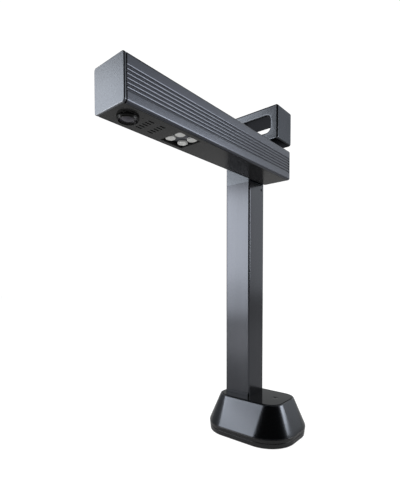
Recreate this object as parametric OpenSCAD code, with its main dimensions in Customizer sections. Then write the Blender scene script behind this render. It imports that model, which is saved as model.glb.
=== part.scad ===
// Folding desktop document camera: weighted base, square column, carry-handle head and hinged camera arm.
// Frame: origin at the middle of the base's resting face, +Z up, -Y towards the page, +X to the arm's side.
// Units are millimetres.

/* [Base] */
// Width of the base at its widest line
base_w = 134; // [124:1:150]
// Depth of the base at its widest line
base_d = 106.8; // [98:0.2:120]
// Corner radius of the widest line
base_r = 42; // [34:1:46]
// Width of the base's top plate
base_top_w = 100; // [96:1:108]
// Depth of the base's top plate
base_top_d = 66.4; // [62:0.2:74]
// Corner radius of the top plate
base_top_r = 20; // [14:1:26]
// How much narrower the underside is than the widest line
belt_draft = 4; // [2:0.5:8]
// Height of the base's top over the desk
base_h = 53.1; // [48:0.1:60]
// Height of the widest line over the desk
belt_z = 14; // [12:0.1:18]
// Height of the rubber foot below the tray
foot_h = 1.2; // [1:0.1:3]
// Wall thickness of the base mouldings
base_wall = 2.5; // [2:0.1:3]

/* [Column] */
// Width of the column (X)
col_w = 41; // [38:0.5:42]
// Depth of the column (Y)
col_d = 39.6; // [37:0.2:41]
// Wall thickness of the column tube
col_wall = 2; // [1.5:0.1:2.2]
// Length of the column tube
col_len = 306.5; // [260:0.5:340]
// Radius of the vertical edges of column and head
edge_r = 2; // [1:0.1:3]

/* [Arm] */
// Width of the arm (X)
arm_w = 41.7; // [40:0.1:44]
// Height of the arm (Z)
arm_h = 40.5; // [38:0.5:41]
// Length of the arm, cap to tail (Y)
arm_len = 290.8; // [280:0.2:320]
// Thickness of the arm's rear cap
rear_cap_h = 3.4; // [3.2:0.1:4]
// Radius of the arm's long edges
arm_r = 2.75; // [2:0.05:3]
// Gap between the column's side and the arm
side_gap = 0.8; // [0.8:0.1:1.5]
// Number of ribs on each side of the arm
rib_count = 5; // [3:1:6]
// Spacing of the ribs
rib_pitch = 3.65; // [3.4:0.05:3.8]
// Depth of the ribbed panel below the arm's side
rib_depth = 0.9; // [0.6:0.1:1]
// Shadow gap between the front cap and the extrusion
cap_gap = 1.1; // [0.8:0.1:1.4]

/* [Head and handle] */
// Distance from the column's top to the arm's underside
arm_lift = 2.2; // [2:0.1:5]
// Clearance between the arm's top and the handle bar
bar_gap = 6.5; // [6.5:0.1:9]
// Height of the handle loop
loop_h = 46; // [42:0.5:48]
// Thickness of the loop's bars
loop_bar = 11.7; // [11:0.1:13]
// Corner radius of the finger slot
slot_r = 7; // [5:0.5:9]
// Radius of the loop's outer corners
loop_r = 3.4; // [2:0.1:5]
// How far the loop's end stands past the arm's side
loop_over = 1; // [0:0.1:1]

/* [Hinge] */
// Radius of the hollow hinge shaft
shaft_r = 8; // [7:0.5:8]
// Running clearance of the shaft in its bushes
run_gap = 0.05; // [0.03:0.01:0.08]
// Distance of the fold axis behind the column's centre line
pivot_back = 1.5; // [1:0.1:2]
// Height of the fold axis above the arm's underside
pivot_up = 19.2; // [18.5:0.1:19.5]

/* [Camera, lamps and button] */
// Distance of the lens behind the arm's front
lens_back = 20; // [17:0.5:24]
// Radius of the lens ring where it leaves the cover
lens_ring_r = 10; // [9:0.1:11]
// How far the lens ring stands below the cover
lens_drop = 3; // [3:0.1:5]
// Distance of the lamp pocket's middle behind the arm's front
pocket_back = 87.2; // [84:0.1:110]
// Radius of one lamp lens
lamp_r = 5.5; // [5:0.1:5.8]
// Radius of the push button on the base
button_r = 4; // [3:0.1:5]
// Travel of the push button
button_travel = 0.6; // [0.3:0.1:0.8]

/* [Hidden] */
$fn = 64;
eps = 0.01;
fit = 0.1;

// Column and head lie to the left of the frame's middle, the arm to the right.
col_x = -22.6;
col_y = 2.5;
col_x1 = col_x + col_w / 2;
col_y0 = col_y - col_d / 2;
col_y1 = col_y + col_d / 2;
bore_w = col_w - 2 * col_wall;
bore_d = col_d - 2 * col_wall;
head_z = base_h + col_len;
arm_x0 = col_x1 + side_gap;
arm_x = arm_x0 + arm_w / 2;
arm_y1 = col_y1;
arm_y0 = arm_y1 - arm_len;
arm_z0 = head_z + arm_lift;
arm_z1 = arm_z0 + arm_h;
loop_z0 = arm_z1 + bar_gap;
loop_z1 = loop_z0 + loop_h;
loop_x0 = col_x - col_w / 2;
loop_x1 = arm_x0 + arm_w + loop_over;
slot_w = loop_x1 - loop_x0 - 2 * loop_bar;
slot_h = loop_h - 2 * loop_bar;

// Base levels, bottom to top.
tray_floor = foot_h + base_wall;
ballast_h = 12;
ballast_z = tray_floor + ballast_h;
flange_h = 4;
top_plate_h = 2;
shell_z1 = base_h - top_plate_h;
shell_roof = shell_z1 - base_wall;
post_xy = [54, 12];
port_x = 10;
board_z = 5.6;
board_h = 1.6;
button_x = 29.5;
button_y = 2;
socket_len = 28;

// Hinge positions along X, from the arm inwards.
axis_y = col_y + pivot_back;
axis_z = arm_z0 + pivot_up;
bush_wall = 2;
bush_len = 6;
boss_len = 15.5;
shaft_len = 23.5;
flange_r = 12.4;
screw_ring_r = 10.2;
flange_h_x = 3;
stop_r = 16.2;
cable_r = 2;
bend_r = 8;
riser_x = -33;
head_wall = 3;

// Arm section and inner levels.
skin = 2;
cap_h = 2.2;
panel_w = 36;
ledge_h = 1.2;
spine_z = arm_z0 + 25.5;
spine_h = 1.5;
ext_y0 = arm_y0 + cap_h + cap_gap;
ext_y1 = arm_y1 - rear_cap_h;
web_x = arm_x0 + skin + flange_h_x;
web_t = 1.5;
board_y1 = axis_y - 42;
rib_r = 1.9;
rib_mid = 19.8;
lens_y = arm_y0 + lens_back;
pocket_y = arm_y0 + pocket_back;
pocket_w = 27.6;
pocket_d = 31;
lamp_dx = 6.5;
lamp_dy = 8.8;
lamp_rise = 1;
lamp_y = pocket_y + 1;
vent_y = [lens_y + 19.6, lens_y + 33.5];
mic_x = arm_x + 8.3;
mic_y = lens_y + 10;

// ---- shared shapes ----

// Rectangle with round corners, centred.
module round_rect(w, d, r) {
    square([w - 2 * r, d], center = true);
    square([w, d - 2 * r], center = true);
    for (sx = [-1, 1], sy = [-1, 1])
        translate([sx * (w / 2 - r), sy * (d / 2 - r)]) circle(r);
}

// Upright slab with round corners, standing on z = 0.
module slab(w, d, r, h) {
    linear_extrude(h) round_rect(w, d, r);
}

// Block from corner p to corner q.
module block(p, q) {
    translate(p) cube(q - p);
}

// Extrudes a shape drawn in X and Z along Y, from y0 to y1.
module along_y(y0, y1) {
    translate([0, y1, 0]) rotate([90, 0, 0]) linear_extrude(y1 - y0) children();
}

// Cylinder along X from x0 to x1 around the fold axis.
module axis_rod(x0, x1, r) {
    translate([x0, axis_y, axis_z]) rotate([0, 90, 0]) cylinder(h = x1 - x0, r = r);
}

// Cylinder along X from x0 to x1 at (y, z).
module x_rod(x0, x1, y, z, r) {
    translate([x0, y, z]) rotate([0, 90, 0]) cylinder(h = x1 - x0, r = r);
}

// Cylinder along Z from z0 to z1.
module z_rod(x, y, z0, z1, r) {
    translate([x, y, z0]) cylinder(h = z1 - z0, r = r);
}

// Tapered body between two round-cornered outlines, shrunk by inset all round.
module tapered(size0, r0, z0, size1, r1, z1, inset) {
    hull() {
        translate([0, 0, z0])
            slab(size0[0] - 2 * inset, size0[1] - 2 * inset, r0 - inset, eps);
        translate([0, 0, z1 - eps])
            slab(size1[0] - 2 * inset, size1[1] - 2 * inset, r1 - inset, eps);
    }
}

// Size and corner radius of the base's sloping side at height z.
function slope(a, b, z) = a + (b - a) * (z - belt_z) / (base_h - belt_z);
function side_size(z) = [slope(base_w, base_top_w, z), slope(base_d, base_top_d, z)];
function side_r(z) = slope(base_r, base_top_r, z);

// Stands its children at the four corners of a rectangle around the column's centre line.
module column_corners(dx, dy) {
    for (sx = [-1, 1], sy = [-1, 1])
        translate([col_x + sx * dx, col_y + sy * dy, 0]) children();
}

// ---- base ----

// One-piece rubber foot: a ring with a round pad at each corner.
module foot_ring() {
    pad_r = 6;
    color("#141414") difference() {
        union() {
            slab(base_w - 30, base_d - 30, 24, foot_h);
            for (sx = [-1, 1], sy = [-1, 1])
                z_rod(sx * 46, sy * 33, 0, foot_h, pad_r);
        }
        translate([0, 0, -1]) slab(base_w - 46, base_d - 46, 18, foot_h + 2);
    }
}

// Lower tray: drafted belt with a closed floor and the socket's opening at the back.
module base_tray() {
    under = [base_w - belt_draft, base_d - belt_draft / 2];
    color("#26272b") difference() {
        union() {
            difference() {
                tapered(under, base_r - 2, foot_h, [base_w, base_d], base_r, belt_z, 0);
                translate([0, 0, base_wall])
                    tapered(under, base_r - 2, foot_h, [base_w, base_d], base_r, belt_z, base_wall);
            }
            for (x = [-30, 34])
                block([x - 3, 38, tray_floor], [x + 3, 44, board_z]);
        }
        tray_screw_holes();
        translate([port_x, 0, board_z + board_h + 1.63]) port_opening(9.8, 4.1);
    }
}

// Counterbored holes in the tray for the four screws.
module tray_screw_holes() {
    for (sx = [-1, 1], sy = [-1, 1]) {
        z_rod(sx * post_xy[0], sy * post_xy[1], foot_h - 1, foot_h + 1.6, 3.1);
        z_rod(sx * post_xy[0], sy * post_xy[1], foot_h, tray_floor + 1, 1.5);
    }
}

// Stadium-shaped passage through the rear wall of the tray.
module port_opening(w, h) {
    along_y(base_d / 2 - 8, base_d / 2 + 8) round_rect(w, h, h / 2 - eps);
}

// Steel weight bolted under the column's foot.
module ballast_plate() {
    color("#6b6e72") difference() {
        translate([0, 0, tray_floor]) slab(96, 70, 10, ballast_h);
        column_corners(21.5, 20) z_rod(0, 0, ballast_z - 8, ballast_z + 1, 2);
    }
}

// Upper housing: sloping sides, flat roof, four screw posts.
module base_shell() {
    color("#4c5056") difference() {
        union() {
            difference() {
                tapered([base_w, base_d], base_r, belt_z, side_size(shell_z1), side_r(shell_z1),
                    shell_z1, 0);
                translate([0, 0, -eps])
                    tapered([base_w, base_d], base_r, belt_z, side_size(shell_z1),
                        side_r(shell_z1), shell_roof, base_wall);
            }
            for (sx = [-1, 1], sy = [-1, 1])
                z_rod(sx * post_xy[0], sy * post_xy[1], tray_floor, 30, 4);
            for (dy = [-7.6, 7.6])
                z_rod(button_x, button_y + dy, 42, shell_roof + 1, 1.8);
        }
        for (sx = [-1, 1], sy = [-1, 1])
            z_rod(sx * post_xy[0], sy * post_xy[1], tray_floor - 1, 14, 1.5);
        translate([col_x, col_y, shell_roof - 1]) slab(bore_w, bore_d, 1, 6);
        z_rod(button_x, button_y, shell_roof - 1, shell_z1 + 1, button_r + 0.1);
    }
}

// Glossy plate that closes the top of the base.
module base_top_plate() {
    color("#303236") difference() {
        tapered(side_size(shell_z1), side_r(shell_z1), shell_z1, [base_top_w, base_top_d],
            base_top_r, base_h, 0);
        translate([col_x, col_y, shell_z1 - 1]) slab(bore_w, bore_d, 1, 4);
        z_rod(button_x, button_y, shell_z1 - 1, base_h + 1, button_r + 0.1);
    }
}

// Four screws that hold tray and shell together.
module tray_screws() {
    color("#8a8d90") for (sx = [-1, 1], sy = [-1, 1]) {
        z_rod(sx * post_xy[0], sy * post_xy[1], foot_h + 0.1, foot_h + 1.6, 2.8);
        z_rod(sx * post_xy[0], sy * post_xy[1], foot_h + 1.6, 13, 1.5);
    }
}

// Steel foot of the column: flange on the ballast and a hollow tenon inside the tube.
module column_foot() {
    color("#777b80") difference() {
        translate([col_x, col_y, 0]) union() {
            translate([0, 0, ballast_z]) slab(51, 50, 4, flange_h);
            translate([0, 0, ballast_z])
                slab(bore_w - 2 * fit, bore_d - 2 * fit, 0.9, base_h + socket_len - ballast_z);
        }
        translate([col_x, col_y, ballast_z + flange_h])
            slab(col_w - 10, col_d - 10, 1, base_h + socket_len);
        column_corners(21.5, 20) z_rod(0, 0, ballast_z - 1, ballast_z + flange_h + 1, 2);
        block([riser_x - 4, col_y, 28], [riser_x + 4, col_y1 + 1, 40]);
        for (x = [-10, 10]) rear_screw(x, 3, 1.5);
    }
}

// Cylinder through the column's rear face, starting `depth` inside it.
module rear_screw(dx, depth, r) {
    translate([col_x + dx, col_y1 + 1, base_h + 14]) rotate([90, 0, 0])
        cylinder(h = depth + 3, r = r);
}

// Four screws between the column's foot and the ballast.
module foot_screws() {
    color("#8a8d90") column_corners(21.5, 20) {
        z_rod(0, 0, ballast_z - 8, ballast_z + flange_h, 2);
        z_rod(0, 0, ballast_z + flange_h, ballast_z + flange_h + 2.4, 3.4);
    }
}

// Circuit board that carries the socket.
module base_board() {
    color("#1f6b3a") {
        block([-36, 36.5, board_z], [40, 46, board_z + board_h]);
        block([-14, 38, board_z + board_h], [-6, 45, board_z + board_h + 1.2]);
        block([22, 38, board_z + board_h], [28, 45, board_z + board_h + 1]);
    }
}

// USB socket: a hollow metal shell with its contact tongue.
module usb_port() {
    shell_w = 8.94;
    shell_t = 3.26;
    color("#b9bcc0") translate([port_x, 0, board_z + board_h + shell_t / 2]) {
        difference() {
            along_y(43.5, 51.6) round_rect(shell_w, shell_t, shell_t / 2 - eps);
            along_y(45, 52) round_rect(shell_w - 0.7, shell_t - 0.7, shell_t / 2 - 0.4);
        }
        along_y(44.9, 50.8) square([6.2, 0.7], center = true);
    }
}

// Push button with a dished top and a flange that keeps it in the plate.
module capture_button() {
    dish = 0.7;
    dish_w = button_r - 0.8;
    dish_r = (dish_w * dish_w + dish * dish) / (2 * dish);
    top = base_h - 0.2;
    color("#2a2b2e") translate([button_x, button_y, 0]) difference() {
        union() {
            z_rod(0, 0, shell_roof - 0.6, top, button_r);
            z_rod(0, 0, shell_roof - 1.2, shell_roof - 0.2, button_r + 1);
            z_rod(0, 0, shell_roof - 1.9, shell_roof - 1, 1.5);
        }
        translate([0, 0, top - dish + dish_r]) sphere(dish_r);
    }
}

// Small board under the button with its tactile switch.
module button_board() {
    color("#1f6b3a") {
        block([button_x - 6, button_y - 10, 40.8], [button_x + 6, button_y + 10, 42]);
        block([button_x - 3, button_y - 3, 42], [button_x + 3, button_y + 3, 44.6]);
        z_rod(button_x, button_y, 44.6, 45.4, 1.6);
    }
}

// ---- column ----

// Rectangular column tube.
module column_tube() {
    color("#777b82") difference() {
        translate([col_x, col_y, base_h]) slab(col_w, col_d, edge_r, col_len);
        translate([col_x, col_y, base_h - 1])
            slab(bore_w, bore_d, 1, col_len + 2);
        for (x = [-10, 10]) rear_screw(x, 3, 1.5);
        for (sx = [-1, 1]) side_screw(sx, 1.5, 1.2);
    }
}

// Cylinder through a side face of the column near its top; reach is its depth past the wall.
module side_screw(sx, reach, r) {
    inner = col_w / 2 - col_wall - reach;
    translate([col_x, col_y + 12.1, head_z - 5.7])
        rotate([0, 90 * sx, 0]) translate([0, 0, inner]) cylinder(h = col_wall + reach + 1, r = r);
}

// Screws that fix the tube to its foot and to the head.
module column_screws() {
    color("#3a3c40") {
        for (x = [-10, 10]) translate([col_x + x, col_y1, base_h + 14]) rotate([90, 0, 0])
            cylinder(h = 5, r = 1.5);
        for (sx = [-1, 1]) translate([col_x, col_y + 12.1, head_z - 5.7]) rotate([0, 90 * sx, 0])
            translate([0, 0, col_w / 2 - col_wall - 1.5]) cylinder(h = 3, r = 1.2);
    }
}

// Quarter bend of the cable: turns from +Z at the origin towards +X.
module bend_up_to_right(r) {
    translate([bend_r, 0, 0]) rotate([90, 0, 0]) rotate([0, 0, 90])
        rotate_extrude(angle = 90) translate([bend_r, 0]) circle(r);
}

// Inner cable from the base board up the column and into the hinge shaft.
module column_cable() {
    low_z = 34;
    start_y = 39;
    color("#101010") {
        z_rod(riser_x, start_y, board_z + board_h, low_z - bend_r, cable_r);
        translate([riser_x, start_y, low_z - bend_r]) rotate([0, 0, -90])
            bend_up_to_right(cable_r);
        along_y(axis_y + bend_r, start_y - bend_r)
            translate([riser_x, low_z]) circle(cable_r);
        translate([riser_x, axis_y, low_z + bend_r]) rotate([0, 180, 90])
            bend_up_to_right(cable_r);
        z_rod(riser_x, axis_y, low_z + bend_r, axis_z - bend_r, cable_r);
        translate([riser_x, axis_y, axis_z - bend_r]) bend_up_to_right(cable_r);
        axis_rod(riser_x + bend_r, arm_x0 + 9.5, cable_r);
    }
}

// ---- head and handle ----

// Front outline of head and handle loop, in X and Z.
module head_outline() {
    difference() {
        union() {
            translate([(loop_x0 + loop_x1) / 2, (loop_z0 + loop_z1) / 2])
                round_rect(loop_x1 - loop_x0, loop_h, loop_r);
            translate([loop_x0, head_z]) square([col_w, loop_z0 - head_z + loop_bar]);
        }
        translate([(loop_x0 + loop_x1) / 2, (loop_z0 + loop_z1) / 2])
            round_rect(slot_w, slot_h, slot_r);
    }
}

// Head: handle loop, hinge chamber and tenon, in one moulding.
module head_frame() {
    in_w = col_w - 2 * head_wall;
    tenon_w = bore_w - 2 * fit;
    tenon_d = bore_d - 2 * fit;
    cham_x0 = loop_x0 + head_wall;
    cham_x1 = col_x1 - head_wall;
    cham_y0 = col_y0 + head_wall;
    cham_z1 = loop_z0 - head_wall;
    color("#43474d") difference() {
        union() {
            difference() {
                intersection() {
                    along_y(col_y0, col_y1) head_outline();
                    translate([(loop_x0 + loop_x1) / 2, col_y, head_z])
                        slab(loop_x1 - loop_x0, col_d, edge_r, loop_z1 - head_z);
                }
                block([cham_x0, cham_y0, head_z + head_wall], [cham_x1, col_y1 + 1, cham_z1]);
            }
            translate([col_x, col_y, head_z - 20]) slab(tenon_w, tenon_d, 0.9, 20 + eps);
            for (x = [cham_x0, cham_x1 - 6], z = [head_z + head_wall, cham_z1 - 6])
                block([x, col_y1 - 12, z], [x + 6, col_y1 - 2.2, z + 6]);
            axis_rod(col_x1 - boss_len, col_x1 - 1, 13);
        }
        translate([col_x, col_y, head_z - 21])
            slab(tenon_w - 6, tenon_d - 6, 0.9, 21 + head_wall + eps);
        axis_rod(col_x1 - boss_len - 1, col_x1 + 1, shaft_r + bush_wall);
        stop_groove();
        for (x = [-14, 14], z = [-15.4, 21]) head_screw(x, z, 8, 1.25);
        for (sx = [-1, 1]) side_screw(sx, 1.5, 1.2);
    }
}

// Quarter-circle groove in which the stop pin runs while the arm folds.
module stop_groove() {
    translate([col_x1 - 2, axis_y, axis_z]) rotate([0, 90, 0]) rotate([0, 0, 225])
        rotate_extrude(angle = 90) translate([stop_r - 1.8, 0]) square([3.6, 3]);
    for (a = [135, 225])
        x_rod(col_x1 - 2, col_x1 + 1, axis_y + stop_r * cos(a), axis_z + stop_r * sin(a), 1.8);
}

// Cylinder for a cover screw, going forwards from the cover's outer face.
module head_screw(dx, dz, len, r) {
    translate([col_x + dx, col_y1, axis_z + dz]) rotate([90, 0, 0]) cylinder(h = len, r = r);
}

// Rear cover of the hinge chamber.
module head_cover() {
    x0 = loop_x0 + head_wall + fit;
    x1 = col_x1 - head_wall - fit;
    color("#3c4046") difference() {
        block([x0, col_y1 - 2.2, head_z + head_wall + fit], [x1, col_y1, loop_z0 - head_wall - fit]);
        for (x = [-14, 14], z = [-15.4, 21]) {
            head_screw(x, z, 8, 1.25);
            head_screw(x, z, 1.2, 2.6);
        }
    }
}

// Four screws of the rear cover.
module head_screws() {
    color("#8a8d90") for (x = [-14, 14], z = [-15.4, 21]) {
        translate([0, -1.2, 0]) head_screw(x, z, 5.8, 1.25);
        translate([0, -0.2, 0]) head_screw(x, z, 1, 2.4);
    }
}

// ---- hinge ----

// Flanged bush on the arm's side; its flange is the thrust face between head and arm.
module outer_bush() {
    color("#c7a25a") difference() {
        union() {
            axis_rod(col_x1 - bush_len, col_x1, shaft_r + bush_wall);
            axis_rod(col_x1, arm_x0 - run_gap, shaft_r + 4);
        }
        axis_rod(col_x1 - bush_len - 1, arm_x0 + 1, shaft_r + run_gap);
    }
}

// Flanged bush at the inner end of the boss.
module inner_bush() {
    color("#c7a25a") difference() {
        union() {
            axis_rod(col_x1 - boss_len, col_x1 - boss_len + bush_len, shaft_r + bush_wall);
            axis_rod(col_x1 - boss_len - 1, col_x1 - boss_len, shaft_r + 4);
        }
        axis_rod(col_x1 - boss_len - 2, col_x1, shaft_r + run_gap);
    }
}

// Hollow hinge shaft with the flange that carries the arm.
module hinge_shaft() {
    color("#9a9da1") difference() {
        union() {
            axis_rod(col_x1 - shaft_len, arm_x0 + skin, shaft_r);
            axis_rod(arm_x0 + skin, web_x, flange_r);
        }
        axis_rod(col_x1 - shaft_len - 1, arm_x0 + 10, 4.5);
        shaft_screw_set(arm_x0 + 0.8, web_x + 1, 1.25);
    }
}

// Cylinders at the three screw positions of the shaft's flange, from x0 to x1.
module shaft_screw_set(x0, x1, r) {
    for (a = [20, 160, 270])
        x_rod(x0, x1, axis_y + screw_ring_r * cos(a), axis_z + screw_ring_r * sin(a), r);
}

// Stack of friction discs on the shaft.
module friction_discs() {
    first = col_x1 - boss_len - 1 - run_gap;
    color("#b3b6ba") for (k = [0:2]) difference() {
        axis_rod(first - 1.1 * k - 0.9, first - 1.1 * k, shaft_r + 4);
        axis_rod(first - 1.1 * k - 2, first - 1.1 * k + 1, shaft_r);
    }
}

// Hexagon nut that sets the hinge's friction.
module hinge_nut() {
    face = col_x1 - boss_len - 1 - run_gap - 3.2;
    color("#9a9da1") difference() {
        translate([face - 3.5, axis_y, axis_z]) rotate([0, 90, 0]) cylinder(h = 3.5, r = 12.5, $fn = 6);
        axis_rod(face - 5, face + 1, shaft_r);
    }
}

// Pin in the arm's wall that runs in the head's quarter groove.
module stop_pin() {
    color("#9a9da1") x_rod(col_x1 - 1.7, arm_x0 + skin, axis_y + stop_r * cos(135),
        axis_z + stop_r * sin(135), 1.5);
}

// Three screws through spine and flange into the extrusion's side.
module shaft_screws() {
    color("#8a8d90") {
        shaft_screw_set(arm_x0 + 0.8, web_x + web_t, 1.25);
        shaft_screw_set(web_x + web_t, web_x + web_t + 1.5, 2.1);
    }
}

// ---- arm ----

// Outer section of the arm, in X and Z.
module arm_section() {
    translate([arm_x, arm_z0 + arm_h / 2]) round_rect(arm_w, arm_h, arm_r);
}

// Inner space of the extrusion and its open underside.
module arm_hollow() {
    translate([arm_x0 + skin, arm_z0 + skin]) square([arm_w - 2 * skin, arm_h - 2 * skin]);
    translate([arm_x - panel_w / 2, arm_z0 - 1]) square([panel_w, skin + 2]);
}

// Ribs of one side: round crests at the face, the outer two running out into the plain bands.
module ribs() {
    mid = arm_z0 + rib_mid;
    for (k = [-1 : rib_count])
        translate([arm_w / 2 - rib_r, mid + (k - (rib_count - 1) / 2) * rib_pitch])
            circle(rib_r);
}

// Long ribbed extrusion, open along its underside, bored for the hinge shaft and the stop pin.
module arm_extrusion() {
    mid = arm_z0 + rib_mid;
    color("#6a6d74") difference() {
        along_y(ext_y0, ext_y1) {
            difference() {
                arm_section();
                arm_hollow();
                for (sx = [-1, 1])
                    translate([arm_x + sx * (arm_w / 2 + 1 - rib_depth), mid])
                        square([2, (rib_count + 1) * rib_pitch], center = true);
            }
            for (sx = [0, 1]) translate([arm_x, 0]) mirror([sx, 0]) intersection() {
                ribs();
                translate([arm_w / 2 - rib_depth - eps, arm_z0])
                    square([rib_depth + eps, arm_h]);
            }
        }
        axis_rod(arm_x0 - 1, arm_x0 + skin + 1, shaft_r);
        shaft_screw_set(arm_x0 + 0.8, arm_x0 + skin + 1, 1.25);
        x_rod(arm_x0 - 1, arm_x0 + skin + 1, axis_y + stop_r * cos(135),
            axis_z + stop_r * sin(135), 1.5);
    }
}

// Ring that locates a cap inside the extrusion.
module spigot(y0, y1) {
    along_y(y0, y1) difference() {
        translate([arm_x0 + skin + fit, arm_z0 + skin + ledge_h + fit])
            square([arm_w - 2 * skin - 2 * fit, arm_h - 2 * skin - ledge_h - 2 * fit]);
        translate([arm_x0 + skin + 2, arm_z0 + skin + ledge_h + 1.9])
            square([arm_w - 2 * skin - 4, arm_h - 2 * skin - ledge_h - 3.8]);
    }
}

// Satin front cap with its spigot.
module arm_front_cap() {
    color("#9aa0aa") {
        along_y(arm_y0, arm_y0 + cap_h) arm_section();
        spigot(arm_y0 + cap_h, ext_y0 + 6);
    }
}

// Rear cap, round at its upper and lower edge so that it clears the handle while the arm folds.
module arm_rear_cap() {
    tail_r = 3;
    color("#5b5e63") {
        intersection() {
            along_y(ext_y1, arm_y1) arm_section();
            translate([arm_x0 - 1, arm_y1 - arm_h / 2, arm_z0 + arm_h / 2])
                rotate([90, 0, 90]) linear_extrude(arm_w + 2) round_rect(arm_h, arm_h, tail_r);
        }
        spigot(ext_y1 - 1.8, ext_y1);
    }
}

// Long cover of the underside, with lens hole, lamp window, vents and microphone hole.
module arm_bottom_cover() {
    y0 = arm_y0 + cap_h;
    color("#2c2c2c") difference() {
        union() {
            block([arm_x - panel_w / 2, y0, arm_z0],
                [arm_x + panel_w / 2, ext_y1, arm_z0 + skin]);
            block([arm_x0 + skin + fit, ext_y0 + 0.2, arm_z0 + skin],
                [arm_x0 + arm_w - skin - fit, ext_y1 - 0.2, arm_z0 + skin + ledge_h]);
        }
        z_rod(arm_x, lens_y, arm_z0 - 1, arm_z0 + skin + 3, 8.6);
        block([arm_x - pocket_w / 2, pocket_y - pocket_d / 2, arm_z0 - 1],
            [arm_x + pocket_w / 2, pocket_y + pocket_d / 2, arm_z0 + skin + 3]);
        for (y = vent_y, k = [-2:2]) vent_slot(arm_x + k * 4.35, y);
        z_rod(mic_x, mic_y, arm_z0 - 1, arm_z0 + 5, 0.5);
    }
}

// One round-ended vent slot.
module vent_slot(x, y) {
    translate([x, y, arm_z0 - 1]) slab(1, 6.2, 0.49, skin + 4);
}

// Inner spine: plate along the arm and the web that bolts to the hinge flange.
module arm_spine() {
    y1 = axis_y + 13.5;
    color("#8d9196") difference() {
        union() {
            block([web_x, arm_y0 + 14, spine_z], [arm_x0 + arm_w - 5, y1, spine_z + spine_h]);
            block([web_x, axis_y - 24, arm_z0 + 5], [web_x + web_t, y1, spine_z + spine_h]);
        }
        axis_rod(web_x - 1, web_x + 3, 5);
        shaft_screw_set(web_x - 1, web_x + web_t + 1, 1.25);
        z_rod(arm_x0 + 19.5, axis_y, spine_z - 1, spine_z + 3, 3.4);
        block([arm_x - 4, lens_y + 16, spine_z - 1], [arm_x + 4, lens_y + 24, spine_z + 3]);
    }
}

// Protruding lens ring with its barrel.
module lens_barrel() {
    tip_r = lens_ring_r - 0.8;
    color("#0c0c0d") translate([arm_x, lens_y, arm_z0]) rotate_extrude() polygon([
        [7.4, 12], [7.4, 1], [8.3, 0.2], [8.3, -lens_drop], [tip_r, -lens_drop],
        [lens_ring_r, -lens_drop + 1.2], [lens_ring_r, 0], [8.6, 0], [8.6, 12]
    ]);
}

// Domed glass at the end of the barrel.
module lens_window() {
    glass_r = 40;
    color("#1a2028") translate([arm_x, lens_y, arm_z0 - lens_drop + 0.9]) intersection() {
        cylinder(h = 2, r = 8.3);
        translate([0, 0, glass_r]) sphere(glass_r, $fn = 128);
    }
}

// Lens stack and its square holder above the ring.
module lens_holder() {
    color("#111111") translate([arm_x, lens_y, 0]) {
        z_rod(0, 0, arm_z0 + 4, arm_z0 + 13, 6);
        translate([-10, -10, arm_z0 + 12]) cube([20, 20, 6]);
    }
}

// Sensor board above the lens holder.
module camera_board() {
    color("#1f6b3a") translate([arm_x, lens_y, arm_z0 + 18]) {
        translate([-13, -13, 0]) cube([26, 26, 1.2]);
        translate([-4, 3, 1.2]) cube([8, 6, 1]);
    }
}

// Four posts between the camera board and the spine.
module camera_posts() {
    color("#b08d4a") for (sx = [-1, 1], y = [-3, 10])
        z_rod(arm_x + sx * 11, lens_y + y, arm_z0 + 19.2, spine_z, 1.5);
}

// Stepped frame of the lamp pocket.
module lamp_bezel() {
    step = 0.9;
    color("#1b1b1c") difference() {
        union() {
            translate([arm_x, pocket_y, arm_z0 + 0.2]) linear_extrude(5.3)
                square([pocket_w, pocket_d], center = true);
            translate([arm_x, pocket_y, arm_z0 + skin + ledge_h]) linear_extrude(1.3)
                square([pocket_w + 5, pocket_d + 5], center = true);
        }
        for (k = [0:3])
            translate([arm_x, pocket_y, arm_z0 - 1]) linear_extrude(1 + 1 + k * step)
                square([pocket_w - 0.8 - k, pocket_d - 0.8 - k], center = true);
        for (sx = [-1, 1], sy = [-1, 1])
            z_rod(arm_x + sx * lamp_dx, lamp_y + sy * lamp_dy, arm_z0, arm_z0 + 6, lamp_r + fit);
    }
}

// Four domed lamp lenses.
module lamp_lenses() {
    dome = 1.5;
    dome_r = (lamp_r * lamp_r + dome * dome) / (2 * dome);
    color("#f2f2ee") for (sx = [-1, 1], sy = [-1, 1])
        translate([arm_x + sx * lamp_dx, lamp_y + sy * lamp_dy, arm_z0 + lamp_rise]) intersection() {
            cylinder(h = 5.8 - lamp_rise, r = lamp_r);
            translate([0, 0, dome_r]) sphere(dome_r, $fn = 96);
        }
}

// Lamp board with its four emitters.
module lamp_board() {
    z = arm_z0 + 6.6;
    color("#e8e8e4") {
        translate([arm_x, pocket_y, z]) linear_extrude(1.4)
            square([pocket_w + 3, pocket_d + 3], center = true);
        for (sx = [-1, 1], sy = [-1, 1])
            translate([arm_x + sx * lamp_dx - 1.5, lamp_y + sy * lamp_dy - 1.5, z - 0.7])
                cube([3, 3, 0.7]);
    }
}

// Posts between the lamp board and the spine.
module lamp_posts() {
    color("#b08d4a") for (sx = [-1, 1], sy = [-1, 1])
        z_rod(arm_x + sx * 12, pocket_y + sy * 14, arm_z0 + 8, spine_z, 1.8);
}

// Microphone capsule above its hole.
module microphone() {
    color("#8d9196")
        z_rod(mic_x, mic_y, arm_z0 + skin + ledge_h, arm_z0 + skin + ledge_h + 2, 2.5);
}

// Dust mesh above the vent slots.
module vent_mesh() {
    color("#0a0a0a")
        block([arm_x - 11, vent_y[0] - 5, arm_z0 + skin + ledge_h],
            [arm_x + 11, vent_y[1] + 5, arm_z0 + skin + ledge_h + 0.4]);
}

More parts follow.
